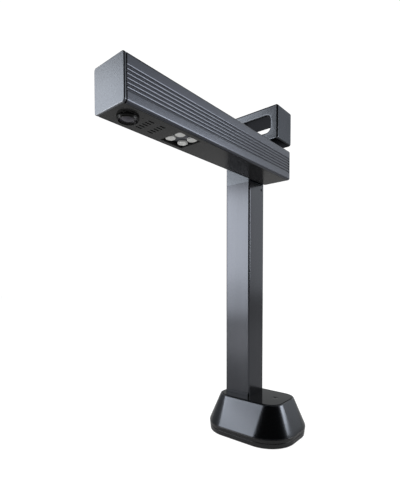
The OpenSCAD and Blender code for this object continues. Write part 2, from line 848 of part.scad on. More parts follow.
// Main board on top of the spine.
module main_board() {
    z = spine_z + spine_h + 1.5;
    color("#1f6b3a") {
        block([arm_x - 13, arm_y0 + 118, z], [arm_x + 13, board_y1, z + 1.6]);
        block([arm_x - 7, arm_y0 + 134, z + 1.6], [arm_x + 7, arm_y0 + 148, z + 3]);
        block([arm_x - 5, arm_y0 + 162, z + 1.6], [arm_x + 5, arm_y0 + 174, z + 2.6]);
        block([arm_x - 5, board_y1 - 6, z + 1.6], [arm_x + 5, board_y1, z + 7]);
    }
}

// Four posts under the main board.
module board_posts() {
    color("#b08d4a") for (sx = [-1, 1], y = [arm_y0 + 122, board_y1 - 4])
        z_rod(arm_x + sx * 10, y, spine_z + spine_h, spine_z + spine_h + 1.5, 2);
}

// Inner cable from the hinge shaft up through the spine and forwards to the main board.
module arm_cable() {
    r = 1.8;
    top_bend = 4.5;
    x0 = arm_x0 + 9.5;
    x1 = arm_x0 + 19.5;
    run_z = spine_z + spine_h + 5.8;
    color("#101010") {
        axis_rod(x0, x1 - bend_r, r);
        translate([x1 - bend_r, axis_y, axis_z + bend_r]) rotate([90, 0, 0]) rotate([0, 0, -90])
            rotate_extrude(angle = 90) translate([bend_r, 0]) circle(r);
        z_rod(x1, axis_y, axis_z + bend_r, run_z - top_bend, r);
        translate([x1, axis_y - top_bend, run_z - top_bend]) rotate([90, 0, 90])
            rotate_extrude(angle = 90) translate([top_bend, 0]) circle(r);
        along_y(board_y1, axis_y - top_bend) translate([x1, run_z]) circle(r);
    }
}

foot_ring();
base_tray();
ballast_plate();
base_shell();
base_top_plate();
tray_screws();
column_foot();
foot_screws();
base_board();
usb_port();
capture_button();
button_board();
column_tube();
column_screws();
column_cable();
head_frame();
head_cover();
head_screws();
outer_bush();
inner_bush();
hinge_shaft();
friction_discs();
hinge_nut();
stop_pin();
shaft_screws();
arm_extrusion();
arm_front_cap();
arm_rear_cap();
arm_bottom_cover();
arm_spine();
lens_barrel();
lens_window();
lens_holder();
camera_board();
camera_posts();
lamp_bezel();
lamp_lenses();
lamp_board();
lamp_posts();
microphone();
vent_mesh();
main_board();
board_posts();
arm_cable();
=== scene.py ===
"""Visual model of a folding desktop document camera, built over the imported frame, in metres."""
import math
import bmesh
import bpy
from mathutils import Matrix, Vector


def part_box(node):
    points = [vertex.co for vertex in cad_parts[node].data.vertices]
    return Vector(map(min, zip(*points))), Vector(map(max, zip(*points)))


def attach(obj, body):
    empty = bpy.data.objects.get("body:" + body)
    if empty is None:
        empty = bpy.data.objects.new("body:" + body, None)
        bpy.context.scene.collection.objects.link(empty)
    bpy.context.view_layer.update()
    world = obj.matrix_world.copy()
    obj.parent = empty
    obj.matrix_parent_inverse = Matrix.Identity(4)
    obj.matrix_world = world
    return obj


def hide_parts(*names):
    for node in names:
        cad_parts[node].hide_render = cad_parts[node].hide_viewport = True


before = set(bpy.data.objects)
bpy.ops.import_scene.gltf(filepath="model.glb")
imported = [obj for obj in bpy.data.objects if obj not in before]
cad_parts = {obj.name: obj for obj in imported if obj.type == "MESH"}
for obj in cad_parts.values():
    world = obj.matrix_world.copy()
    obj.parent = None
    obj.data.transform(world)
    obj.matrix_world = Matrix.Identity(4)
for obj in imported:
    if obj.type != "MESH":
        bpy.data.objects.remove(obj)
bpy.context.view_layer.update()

MM = 0.001
BOX = {name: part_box(name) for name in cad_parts}


def lo(node):
    return BOX[node][0]


def hi(node):
    return BOX[node][1]


def mid(node):
    return (BOX[node][0] + BOX[node][1]) / 2


# ---------------------------------------------------------------- camera

CAM_PLACE = Vector((271.98, -448.63, 217.09)) * MM
CAM_YAW, CAM_PITCH, CAM_ROLL = 40.3265, -1.9285, -0.0736
CAM_LENS, CAM_SHIFT_Y = 25.568, 0.0892


def add_camera():
    yaw, pitch, roll = (math.radians(v) for v in (CAM_YAW, CAM_PITCH, CAM_ROLL))
    level = Vector((math.cos(yaw), math.sin(yaw), 0))
    flat = Vector((-math.sin(yaw), math.cos(yaw), 0))
    ahead = flat * math.cos(pitch) + Vector((0, 0, math.sin(pitch)))
    up = level.cross(ahead)
    right = level * math.cos(roll) + up * math.sin(roll)
    up = right.cross(ahead)
    data = bpy.data.cameras.new("camera")
    data.sensor_width = 36
    data.lens = CAM_LENS
    data.shift_y = CAM_SHIFT_Y
    data.clip_start, data.clip_end = 0.01, 20
    cam = bpy.data.objects.new("camera", data)
    bpy.context.scene.collection.objects.link(cam)
    turn = Matrix((right, up, -ahead)).transposed()
    cam.matrix_world = Matrix.Translation(CAM_PLACE) @ turn.to_4x4()
    bpy.context.scene.camera = cam


add_camera()

# ---------------------------------------------------------------- materials

MOTTLE_DETAIL, SMUDGE_DETAIL, GRAIN_DETAIL = 4, 5, 2
MIN_ROUGH = 0.02
SHADE = (0.001, 0.001, 0.001)


class Look:
    """Builds one node material on a principled shader. Noise scales are in waves per metre."""

    def __init__(self, name, color, rough, metal=0.0, ior=1.5):
        self.mat = bpy.data.materials.new(name)
        self.mat.use_nodes = True
        self.tree = self.mat.node_tree
        self.shader = self.tree.nodes["Principled BSDF"]
        self.rough = rough
        self.color = color
        values = {"Base Color": (*color, 1), "Roughness": rough, "Metallic": metal, "IOR": ior}
        for key, value in values.items():
            self.shader.inputs[key].default_value = value
        self.coords = self.node("ShaderNodeTexCoord")

    def node(self, kind, **props):
        made = self.tree.nodes.new(kind)
        for key, value in props.items():
            setattr(made, key, value)
        return made

    def link(self, a, b):
        self.tree.links.new(a, b)

    def stretched(self, scale):
        place = self.node("ShaderNodeMapping")
        place.inputs["Scale"].default_value = scale
        self.link(self.coords.outputs["Object"], place.inputs["Vector"])
        return place.outputs["Vector"]

    def noise(self, scale, detail, stretch):
        tex = self.node("ShaderNodeTexNoise")
        tex.inputs["Scale"].default_value = scale
        tex.inputs["Detail"].default_value = detail
        self.link(self.stretched(stretch), tex.inputs["Vector"])
        return tex.outputs["Fac"]

    def ramp(self, fac, a, b, low, high):
        """Colour a up to low, colour b from high on, and a change between them."""
        made = self.node("ShaderNodeValToRGB")
        for element, place, color in zip(made.color_ramp.elements, (low, high), (a, b)):
            element.position = place
            element.color = (*color, 1)
        self.link(fac, made.inputs["Fac"])
        return made.outputs["Color"]

    def span(self, value, start, end, low, high):
        """Linear change from low to high as the value goes from start to end."""
        made = self.node("ShaderNodeMapRange")
        for key, number in (("From Min", start), ("From Max", end), ("To Min", low), ("To Max", high)):
            made.inputs[key].default_value = number
        self.link(value, made.inputs["Value"])
        return made.outputs["Result"]

    def up_part(self, vector):
        """Third component of a vector."""
        axes = self.node("ShaderNodeSeparateXYZ")
        self.link(vector, axes.inputs["Vector"])
        return axes.outputs["Z"]

    def blend_in(self, share, color):
        """Mixes a colour into the base colour that is linked so far."""
        base = self.shader.inputs["Base Color"]
        mix = self.node("ShaderNodeMix", data_type="RGBA")
        self.link(share, mix.inputs["Factor"])
        self.link(base.links[0].from_socket, mix.inputs["A"])
        mix.inputs["B"].default_value = (*color, 1)
        self.link(mix.outputs["Result"], base)
        return self

    def mottle(self, scale, spread, stretch=(1, 1, 1)):
        """Slow colour variation around the base colour."""
        a = tuple(c * (1 - spread) for c in self.color)
        b = tuple(min(1, c * (1 + spread)) for c in self.color)
        tone = self.ramp(self.noise(scale, MOTTLE_DETAIL, stretch), a, b, 0.3, 0.7)
        self.link(tone, self.shader.inputs["Base Color"])
        return self

    def smudge(self, scale, spread, stretch=(1, 1, 1)):
        """Roughness that wanders, as handling leaves it."""
        low, high = max(MIN_ROUGH, self.rough - spread), min(1, self.rough + spread)
        rough = self.span(self.noise(scale, SMUDGE_DETAIL, stretch), 0, 1, low, high)
        self.link(rough, self.shader.inputs["Roughness"])
        return self

    def bump(self, height, depth):
        """Small relief of the given depth."""
        made = self.node("ShaderNodeBump")
        made.inputs["Strength"].default_value = 1
        made.inputs["Distance"].default_value = depth
        self.link(height, made.inputs["Height"])
        self.link(made.outputs["Normal"], self.shader.inputs["Normal"])
        return self

    def grain(self, scale, depth, detail=GRAIN_DETAIL, stretch=(1, 1, 1)):
        """Fine surface relief, as paint, brushing or moulding leaves it."""
        return self.bump(self.noise(scale, detail, stretch), depth)

    def painted_shade_below(self, z0, z1):
        """Painted shade on faces that look down, most so below height z0 and less so above z1."""
        normal = self.node("ShaderNodeNewGeometry").outputs["Normal"]
        down = self.span(self.up_part(normal), -0.85, -0.45, 0.94, 0)
        level = self.span(self.up_part(self.coords.outputs["Object"]), z0, z1, 1, 0.45)
        both = self.node("ShaderNodeMath", operation="MULTIPLY")
        self.link(down, both.inputs[0])
        self.link(level, both.inputs[1])
        return self.blend_in(both.outputs["Value"], SHADE)

    def painted_shade_towards(self, z0, z1, amount):
        """Painted shade that falls off from height z0 to height z1, which may be the lower one."""
        height = self.up_part(self.coords.outputs["Object"])
        return self.blend_in(self.span(height, z0, z1, 0, amount), SHADE)

    def painted_edge_highlight(self, color, amount):
        """Painted highlight: a lighter tone along convex edges."""
        sharp = self.node("ShaderNodeNewGeometry").outputs["Pointiness"]
        share = self.ramp(sharp, (0, 0, 0), (amount, amount, amount), 0.54, 0.62)
        return self.blend_in(share, color)


def look_column():
    """Anodised tube, brushed along its length, with a faint painted highlight along its edges."""
    made = Look("column_anodised", (0.084, 0.087, 0.097), 0.18, metal=1.0)
    made.mottle(26, 0.09, stretch=(1, 1, 0.12)).smudge(14, 0.03, stretch=(1, 1, 0.15))
    return made.grain(1500, 0.003 * MM, stretch=(1, 1, 0.02)).painted_edge_highlight((0.2, 0.2, 0.22), 0.05).mat


def look_head():
    """Satin paint, with painted shade on the undersides around the hinge and a painted highlight along
    its edges.
    """
    made = Look("head_paint", (0.098, 0.104, 0.115), 0.22, metal=1.0)
    made.shader.inputs["Specular Tint"].default_value = (0.55, 0.55, 0.57, 1)
    loop_z = lo("head_cover").z + 44 * MM
    made.mottle(22, 0.08).smudge(18, 0.05)
    made.grain(3600, 0.008 * MM).painted_edge_highlight((0.14, 0.145, 0.155), 0.1)
    return made.painted_shade_below(loop_z, loop_z + 8 * MM).mat


def look_arm():
    """Anodised extrusion with fine drawing lines along it, and a painted highlight along its edges."""
    made = Look("arm_anodised", (0.080, 0.085, 0.100), 0.29, metal=1.0)
    made.mottle(14, 0.05).smudge(20, 0.05, stretch=(1, 0.1, 1))
    return made.grain(2600, 0.008 * MM, stretch=(1, 0.04, 1)).painted_edge_highlight((0.22, 0.22, 0.24), 0.3).mat


def look_tail():
    """Moulded rear cap with a fine texture and a painted highlight along its edges."""
    made = Look("tail_moulding", (0.074, 0.079, 0.088), 0.30, metal=1.0)
    made.mottle(20, 0.05).smudge(16, 0.05)
    return made.grain(4200, 0.018 * MM).painted_edge_highlight((0.16, 0.16, 0.17), 0.4).mat


def look_cap():
    """Satin front cap, with painted shade making it a little darker towards its top, and a painted
    highlight along its edges.
    """
    made = Look("cap_satin", (0.094, 0.100, 0.112), 0.28, metal=1.0)
    made.mottle(26, 0.04).smudge(22, 0.05)
    made.painted_shade_towards(lo("arm_front_cap").z, hi("arm_front_cap").z, 0.30)
    return made.grain(4800, 0.014 * MM).painted_edge_highlight((0.3, 0.31, 0.33), 0.5).mat


def look_gloss(name, color, rough, ior):
    """Glossy moulding with faint waves in its surface."""
    made = Look(name, color, rough, ior=ior)
    made.mottle(40, 0.15).smudge(30, 0.035)
    return made.grain(160, 0.01 * MM, 3).mat


def look_base():
    """Satin coating of the base, with painted shade darker towards the belt and a faint painted
    highlight along its edges.
    """
    made = Look("base_satin", (0.072, 0.076, 0.085), 0.18, metal=1.0)
    made.mottle(16, 0.05).smudge(16, 0.04)
    made.painted_shade_towards(hi("base_shell").z, lo("base_shell").z, 0.36)
    return made.grain(5200, 0.005 * MM).painted_edge_highlight((0.2, 0.2, 0.22), 0.1).mat


def look_plastic(name, color, rough=0.5, scale=2600, depth=0.03 * MM, ior=1.45):
    """Fine-textured moulding with a painted highlight that makes its edges a little lighter than its
    faces.
    """
    made = Look(name, color, rough, ior=ior)
    edge_color = tuple(min(1, c * 2.5 + 0.02) for c in color)
    made.mottle(60, 0.12).smudge(30, 0.08)
    return made.grain(scale, depth).painted_edge_highlight(edge_color, 0.3).mat


def look_rubber():
    """Matt rubber of the foot."""
    made = Look("foot_rubber", (0.012, 0.012, 0.012), 0.85, ior=1.35)
    made.mottle(120, 0.3).smudge(60, 0.08)
    return made.grain(1800, 0.06 * MM).mat


def look_steel(name, color, rough):
    """Turned or plated steel with painted highlights on its edges."""
    made = Look(name, color, rough, metal=1.0)
    made.mottle(60, 0.08).smudge(80, 0.08)
    return made.grain(3000, 0.015 * MM).painted_edge_highlight((0.7, 0.7, 0.71), 0.4).mat


def look_brass():
    """Turned brass of bushes and posts, with painted highlights on its edges."""
    made = Look("brass_turned", (0.52, 0.36, 0.13), 0.3, metal=1.0)
    made.mottle(70, 0.1).smudge(60, 0.08)
    return made.grain(2400, 0.015 * MM).painted_edge_highlight((0.8, 0.62, 0.3), 0.4).mat


def look_board():
    """Circuit board with the faint grid of its tracks."""
    made = Look("circuit_board", (0.010, 0.075, 0.030), 0.4)
    tracks = made.node("ShaderNodeTexBrick")
    tracks.inputs["Scale"].default_value = 320
    tracks.inputs["Color1"].default_value = (*made.color, 1)
    tracks.inputs["Color2"].default_value = (0.014, 0.100, 0.042, 1)
    tracks.inputs["Mortar"].default_value = (0.030, 0.140, 0.060, 1)
    made.link(made.coords.outputs["Object"], tracks.inputs["Vector"])
    made.link(tracks.outputs["Color"], made.shader.inputs["Base Color"])
    made.smudge(50, 0.08)
    return made.grain(900, 0.03 * MM).mat


def look_glass():
    """Dark coated front element, with a violet tint."""
    made = Look("lens_glass", (0.020, 0.017, 0.032), 0.06, ior=1.6)
    made.mottle(90, 0.4).smudge(120, 0.02)
    return made.grain(40, 0.004 * MM).mat


def look_lamp():
    """White diffuser with a fine cell pattern."""
    made = Look("lamp_diffuser", (0.72, 0.72, 0.70), 0.35, ior=1.46)
    made.mottle(240, 0.05).smudge(120, 0.08)
    made.shader.inputs["Subsurface Weight"].default_value = 0.25
    made.shader.inputs["Subsurface Radius"].default_value = (2 * MM, 2 * MM, 2 * MM)
    rings = made.node("ShaderNodeTexVoronoi")
    rings.inputs["Scale"].default_value = 900
    made.link(made.coords.outputs["Object"], rings.inputs["Vector"])
    return made.bump(rings.outputs["Distance"], 0.08 * MM).mat


COLUMN = look_column()
HEAD = look_head()
ARM = look_arm()
TAIL = look_tail()
CAP = look_cap()
COVER = look_gloss("cover_gloss", (0.011, 0.011, 0.011), 0.22, 1.30)
PLATE = look_gloss("plate_gloss", (0.002, 0.002, 0.002), 0.06, 1.15)
BASE = look_base()
TRAY = look_plastic("tray_black", (0.006, 0.006, 0.0068), 0.26, ior=1.5)
RUBBER = look_rubber()
STEEL = look_steel("steel_turned", (0.42, 0.42, 0.43), 0.32)
SCREW = look_steel("screw_black", (0.05, 0.05, 0.052), 0.4)
BRASS = look_brass()
BOARD = look_board()
BLACK = look_plastic("lens_black", (0.002, 0.002, 0.002), 0.3, 4200, 0.015 * MM, 1.22)
RING = look_plastic("lens_ring_black", (0.002, 0.002, 0.002), 0.26, 4200, 0.012 * MM, 1.34)
BEZEL = look_plastic("bezel_black", (0.004, 0.004, 0.004), 0.38, 3600, 0.02 * MM, 1.25)
GLASS = look_glass()
LAMP = look_lamp()
LAMP_BOARD = look_plastic("lamp_board_white", (0.55, 0.55, 0.53), 0.45)
CABLE = look_plastic("cable_black", (0.010, 0.010, 0.010), 0.6)
BUTTON = look_gloss("button_gloss", (0.009, 0.009, 0.009), 0.2, 1.3)

# ---------------------------------------------------------------- mesh helpers

TINY = 1e-6
SHARP_ANGLE = 40


def turn(k, n):
    """Angle of step k of n around a circle."""
    return 2 * math.pi * k / n


def rounded(w, d, r, cx=0.0, cy=0.0, n=8):
    """Outline of a rectangle with round corners of n steps, counter-clockwise."""
    r = max(TINY, min(r, w / 2 - TINY, d / 2 - TINY))
    pts = []
    for k, (sx, sy) in enumerate(((1, 1), (-1, 1), (-1, -1), (1, -1))):
        x, y = cx + sx * (w / 2 - r), cy + sy * (d / 2 - r)
        for i in range(n + 1):
            a = math.radians(90 * k + 90 * i / n)
            pts.append((x + r * math.cos(a), y + r * math.sin(a)))
    return pts


def circle_pts(r, cx, cy, n):
    return [(cx + r * math.cos(turn(i, n)), cy + r * math.sin(turn(i, n))) for i in range(n)]


def place_xy(p, t):
    return Vector((p[0], p[1], t))


def place_xz(p, t):
    return Vector((p[0], t, p[1]))


def place_yz(p, t):
    return Vector((t, p[0], p[1]))


def finish_mesh(name, bm, mat, body, stands_for, smooth=SHARP_ANGLE):
    """Turns a bmesh into a shaded piece that rides on its body."""
    bmesh.ops.remove_doubles(bm, verts=bm.verts, dist=TINY)
    bmesh.ops.recalc_face_normals(bm, faces=bm.faces)
    mesh = bpy.data.meshes.new(name)
    bm.to_mesh(mesh)
    bm.free()
    return add_piece(name, mesh, mat, body, stands_for, smooth)


def shade_smooth(mesh, smooth):
    """Smooth shading, with edges over the given angle kept sharp."""
    for poly in mesh.polygons:
        poly.use_smooth = True
    mesh.set_sharp_from_angle(angle=math.radians(smooth))


def add_piece(name, mesh, mat, body, stands_for, smooth):
    """Adds a mesh as a piece with its material and body, and hides the CAD nodes it replaces."""
    piece = bpy.data.objects.new(name, mesh)
    bpy.context.scene.collection.objects.link(piece)
    mesh.materials.append(mat)
    shade_smooth(mesh, smooth)
    weigh = piece.modifiers.new("weighted_normals", "WEIGHTED_NORMAL")
    weigh.keep_sharp = True
    weigh.weight = 100
    if stands_for:
        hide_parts(*stands_for)
    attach(piece, body)
    return piece


def solid_from(rings):
    """A closed bmesh solid through rings of equal point counts."""
    bm = bmesh.new()
    rows = [[bm.verts.new(p) for p in ring] for ring in rings]
    for a, b in zip(rows, rows[1:]):
        for i in range(len(a)):
            j = (i + 1) % len(a)
            bm.faces.new((a[i], a[j], b[j], b[i]))
    bm.faces.new(rows[0][::-1])
    bm.faces.new(rows[-1])
    bmesh.ops.recalc_face_normals(bm, faces=bm.faces)
    return bm


def prism(points, t0, t1, place):
    return solid_from([[place(p, t) for p in points] for t in (t0, t1)])


def loft(name, rings, mat, body, stands_for):
    """A closed piece through rings of equal point counts."""
    return finish_mesh(name, solid_from(rings), mat, body, stands_for)


def evaluated_mesh(obj):
    return bpy.data.meshes.new_from_object(obj.evaluated_get(bpy.context.evaluated_depsgraph_get()))


def plate(name, loops, t0, t1, bevel, place, mat, body, stands_for, rounds=4):
    """A plate with holes: outlines filled, given thickness and rounded along every edge."""
    curve = bpy.data.curves.new(name + "_outline", "CURVE")
    curve.dimensions = "2D"
    curve.fill_mode = "BOTH"
    curve.resolution_u = 1
    for loop in loops:
        spline = curve.splines.new("POLY")
        spline.points.add(len(loop) - 1)
        for point, (x, y) in zip(spline.points, loop):
            point.co = (x, y, 0, 1)
        spline.use_cyclic_u = True
    curve.extrude = (t1 - t0) / 2 - bevel
    curve.bevel_depth = bevel
    curve.bevel_resolution = rounds
    curve.offset = -bevel
    source = bpy.data.objects.new(name + "_outline", curve)
    bpy.context.scene.collection.objects.link(source)
    mesh = evaluated_mesh(source)
    bpy.data.objects.remove(source)
    bpy.data.curves.remove(curve)
    bm = bmesh.new()
    bm.from_mesh(mesh)
    bpy.data.meshes.remove(mesh)
    for v in bm.verts:
        v.co = place((v.co.x, v.co.y), (t0 + t1) / 2 + v.co.z)
    return finish_mesh(name, bm, mat, body, stands_for)


def carve(piece, cutters):
    """Cuts solids out of a piece and keeps the result as its mesh."""
    joined = bpy.data.meshes.new("cutter")
    bm = bmesh.new()
    for cutter in cutters:
        part = bpy.data.meshes.new("part")
        cutter.to_mesh(part)
        cutter.free()
        bm.from_mesh(part)
        bpy.data.meshes.remove(part)
    bm.to_mesh(joined)
    bm.free()
    tool = bpy.data.objects.new("cutter", joined)
    bpy.context.scene.collection.objects.link(tool)
    blank = bpy.data.objects.new("blank", piece.data)
    bpy.context.scene.collection.objects.link(blank)
    cut = blank.modifiers.new("cut", "BOOLEAN")
    cut.operation = "DIFFERENCE"
    cut.solver = "EXACT"
    cut.object = tool
    bpy.context.view_layer.update()
    made = evaluated_mesh(blank)
    made.name = piece.data.name + "_cut"
    bpy.data.objects.remove(blank)
    bpy.data.objects.remove(tool)
    bpy.data.meshes.remove(joined)
    piece.data = made
    shade_smooth(made, SHARP_ANGLE)


def fillet_steps(r, n=5):
    """(inset, advance) pairs of a quarter round from the edge's face to its side."""
    angles = [math.pi / 2 * i / n for i in range(n + 1)]
    return [(r * (1 - math.sin(a)), r * (1 - math.cos(a))) for a in angles]


def lathe(name, profile, centre, mat, body, stands_for, n):
    """Turns (radius, height) points around an upright axis through centre."""
    bm = bmesh.new()
    rows = []
    for r, z in profile:
        if r < TINY:
            rows.append([bm.verts.new(centre + Vector((0, 0, z)))])
        else:
            rows.append([bm.verts.new(centre + Vector((x, y, z))) for x, y in circle_pts(r, 0, 0, n)])
    for a, b in zip(rows, rows[1:]):
        for i in range(n):
            j = (i + 1) % n
            if len(a) == 1:
                bm.faces.new((a[0], b[i], b[j]))
            elif len(b) == 1:
                bm.faces.new((a[i], a[j], b[0]))
            else:
                bm.faces.new((a[i], a[j], b[j], b[i]))
    return finish_mesh(name, bm, mat, body, stands_for)


def arc_pts(cx, cy, r, a0, a1, n):
    """Points of an arc in n steps, from angle a0 to a1 in degrees."""
    angles = [math.radians(a0 + (a1 - a0) * i / n) for i in range(n + 1)]
    return [(cx + r * math.cos(a), cy + r * math.sin(a)) for a in angles]


# ---------------------------------------------------------------- base

BASE_W = hi("base_shell").x - lo("base_shell").x
BASE_D = hi("base_shell").y - lo("base_shell").y
BASE_H = hi("base_top_plate").z
FOOT_H = hi("foot_ring").z
TOP_W, TOP_D, TOP_R = 100 * MM, 66.4 * MM, 20 * MM
WIDE_R = 42 * MM
BELT_Z = 14 * MM
BELT_DRAFT_W, BELT_DRAFT_D, BELT_DRAFT_R = 4 * MM, 2 * MM, 2 * MM
TRAY_TOP = BELT_Z - 0.3 * MM
GROOVE_SHARE = 0.56
GROOVE_HALF = 1.1 * MM
GROOVE_SHAPE = ((0.06, -0.6), (0.28, -0.35), (0.75, -0.25), (0.75, 0.25), (0.28, 0.35), (0.06, 0.6))
PORT_W, PORT_H, PORT_R, PORT_DEPTH = 9.8 * MM, 4.1 * MM, 2 * MM, 7 * MM
FOOT_SCREW_INSET, FOOT_SCREW_R, FOOT_SCREW_DEPTH = 2.8 * MM, 3.1 * MM, 1.6 * MM
SHELL_TOP = lo("base_top_plate").z + 1.4 * MM
SHELL_ROUND = 1.1 * MM
SHELL_STEPS = 8
PLATE_INSET, PLATE_T = 1.85 * MM, 1.6 * MM
BUTTON_R, BUTTON_HOLE_R, BUTTON_FLANGE_R = 4 * MM, 4.1 * MM, 5 * MM
BUTTON_DISH, BUTTON_NECK, BUTTON_END = 0.7 * MM, -4.6 * MM, -5.4 * MM


def tapered_ring(z, sizes, inset):
    """Outline of the base at height z from its width, depth and corner radius there."""
    w, d, r = sizes
    return [Vector((x, y, z)) for x, y in rounded(w - 2 * inset, d - 2 * inset, r - inset, n=14)]


def base_ring(z, inset=0.0):
    """Outline of the base's sloping side at height z."""
    t = (z - BELT_Z) / (BASE_H - BELT_Z)
    sizes = (BASE_W + (TOP_W - BASE_W) * t, BASE_D + (TOP_D - BASE_D) * t, WIDE_R + (TOP_R - WIDE_R) * t)
    return tapered_ring(z, sizes, inset)


def belt_ring(z, inset=0.0):
    """Outline of the tray's nearly upright side at height z."""
    t = (BELT_Z - z) / (BELT_Z - FOOT_H)
    sizes = (BASE_W - BELT_DRAFT_W * t, BASE_D - BELT_DRAFT_D * t, WIDE_R - BELT_DRAFT_R * t)
    return tapered_ring(z, sizes, inset)


def build_tray():
    """Lower housing with its groove, its rounded edges, the socket's mouth and the screw wells."""
    groove_z = FOOT_H + GROOVE_SHARE * (BELT_Z - FOOT_H)
    rings = [belt_ring(FOOT_H + up, inset) for inset, up in fillet_steps(0.8 * MM)]
    rings.append(belt_ring(groove_z - GROOVE_HALF))
    rings += [belt_ring(groove_z + up * MM, inset * MM) for inset, up in GROOVE_SHAPE]
    rings.append(belt_ring(groove_z + GROOVE_HALF))
    rings.append(belt_ring(BELT_Z - 1.6 * MM))
    rings += [belt_ring(TRAY_TOP - up, inset) for inset, up in reversed(fillet_steps(1.1 * MM, 4))]
    tray = loft("tray_moulding", rings, TRAY, "stand", ["base_tray"])
    port = mid("usb_port")
    mouth = rounded(PORT_W, PORT_H, PORT_R, port.x, port.z, 6)
    cuts = [prism(mouth, hi("usb_port").y - PORT_DEPTH, BASE_D, place_xz)]
    screw_x, screw_y = (hi("tray_screws").x - FOOT_SCREW_INSET, hi("tray_screws").y - FOOT_SCREW_INSET)
    for sx in (-1, 1):
        for sy in (-1, 1):
            well = circle_pts(FOOT_SCREW_R, sx * screw_x, sy * screw_y, 32)
            cuts.append(prism(well, 0, FOOT_H + FOOT_SCREW_DEPTH, place_xy))
    carve(tray, cuts)


def build_shell():
    """Upper housing: a fine seam at the belt, a straight slope and a rounded rim around the plate."""
    seam = BELT_Z + 0.35 * MM
    rings = [base_ring(TRAY_TOP, 0.9 * MM), base_ring(BELT_Z, 0.3 * MM), base_ring(seam, 0.06 * MM)]
    slope = SHELL_TOP - BELT_Z - 1.5 * MM
    rings += [base_ring(seam + slope * k / SHELL_STEPS) for k in range(1, SHELL_STEPS + 1)]
    rings += [base_ring(SHELL_TOP - down, inset) for inset, down in reversed(fillet_steps(SHELL_ROUND))]
    rings.append(base_ring(SHELL_TOP - 0.05 * MM, 1.35 * MM))
    rings.append(base_ring(SHELL_TOP - 1.3 * MM, 1.4 * MM))
    loft("shell_moulding", rings, BASE, "stand", ["base_shell"])


def build_top_plate():
    button = mid("capture_button")
    hole = circle_pts(BUTTON_HOLE_R, button.x, button.y, 40)
    edge = rounded(TOP_W - 2 * PLATE_INSET, TOP_D - 2 * PLATE_INSET, TOP_R - PLATE_INSET, n=14)
    plate("top_plate", [edge, hole], BASE_H - PLATE_T, BASE_H, 0.45 * MM, place_xy, PLATE, "stand",
          ["base_top_plate"])


def build_button():
    """Push button with a dished top, a rounded edge and a flange under the plate."""
    angles = [math.pi / 2 * k / 8 for k in range(9)]
    profile = [(BUTTON_R * 0.8 * math.sin(a), -BUTTON_DISH * math.cos(a) ** 2) for a in angles]
    profile += [(BUTTON_R - 0.35 * MM, 0), (BUTTON_R - 0.12 * MM, -0.1 * MM), (BUTTON_R, -0.35 * MM)]
    profile += [(BUTTON_R, BUTTON_NECK), (BUTTON_FLANGE_R, BUTTON_NECK)]
    profile += [(BUTTON_FLANGE_R, BUTTON_END), (0, BUTTON_END)]
    place = mid("capture_button")
    place.z = hi("capture_button").z
    lathe("push_button", profile, place, BUTTON, "button", ["capture_button"], 48)


build_tray()
build_shell()
build_top_plate()
build_button()

# ---------------------------------------------------------------- column

COL_LO, COL_HI, COL_MID = lo("column_tube"), hi("column_tube"), mid("column_tube")
UPRIGHT_R = 2.3 * MM
TUBE_END_R = 0.16 * MM
TUBE_STEPS = 6
SPARE = 1 * MM
SIDE_SCREW_Y, SIDE_SCREW_DROP, SIDE_SCREW_R = 12.1 * MM, 5.7 * MM, 1.9 * MM
BACK_SCREW_X, BACK_SCREW_RISE, BACK_SCREW_R = 10 * MM, 1.5 * MM, 1.8 * MM
BACK_SCREW_DEPTH = 0.35 * MM


def column_ring(z, inset=0.0):
    w, d = COL_HI.x - COL_LO.x - 2 * inset, COL_HI.y - COL_LO.y - 2 * inset
    outline = rounded(w, d, UPRIGHT_R - inset, COL_MID.x, COL_MID.y, 12)
    return [Vector((x, y, z)) for x, y in outline]


def build_column():
    """Square tube with its screw recesses at the head on both sides and at the foot behind."""
    end = fillet_steps(TUBE_END_R, 3)
    height = COL_HI.z - COL_LO.z
    rings = [column_ring(COL_LO.z + up, inset) for inset, up in end]
    rings += [column_ring(COL_LO.z + height * k / TUBE_STEPS) for k in range(1, TUBE_STEPS)]
    rings += [column_ring(COL_HI.z - up, inset) for inset, up in reversed(end)]
    skin = loft("column_skin", rings, COLUMN, "stand", ["column_tube"])
    screws_lo, screws_hi = lo("column_screws"), hi("column_screws")
    side = circle_pts(SIDE_SCREW_R, COL_MID.y + SIDE_SCREW_Y, COL_HI.z - SIDE_SCREW_DROP, 28)
    cuts = [prism(side, screws_hi.x, COL_HI.x + SPARE, place_yz),
            prism(side, COL_LO.x - SPARE, screws_lo.x, place_yz)]
    for dx in (-BACK_SCREW_X, BACK_SCREW_X):
        back = circle_pts(BACK_SCREW_R, COL_MID.x + dx, screws_lo.z + BACK_SCREW_RISE, 28)
        cuts.append(prism(back, COL_HI.y - BACK_SCREW_DEPTH, COL_HI.y + SPARE, place_xz))
    carve(skin, cuts)


build_column()

# ---------------------------------------------------------------- head and handle

HEAD_LO, HEAD_HI = lo("head_frame"), hi("head_frame")
BACK_LO, BACK_HI, BACK_MID = lo("head_cover"), hi("head_cover"), mid("head_cover")
BACK_W, BACK_H = BACK_HI.x - BACK_LO.x, BACK_HI.z - BACK_LO.z
SEAM_Z = COL_HI.z
SEAM_GAP = 0.08 * MM
LOOP_BAR, LOOP_H = 11.7 * MM, 46 * MM
LOOP_R, LOOP_INNER_R, SLOT_R = 3.4 * MM, 1.6 * MM, 7 * MM
FOOT_SPARE = 6 * MM
BACK_SCREW_HEAD_R, BACK_SCREW_HOLE_R = 2.4 * MM, 2.6 * MM


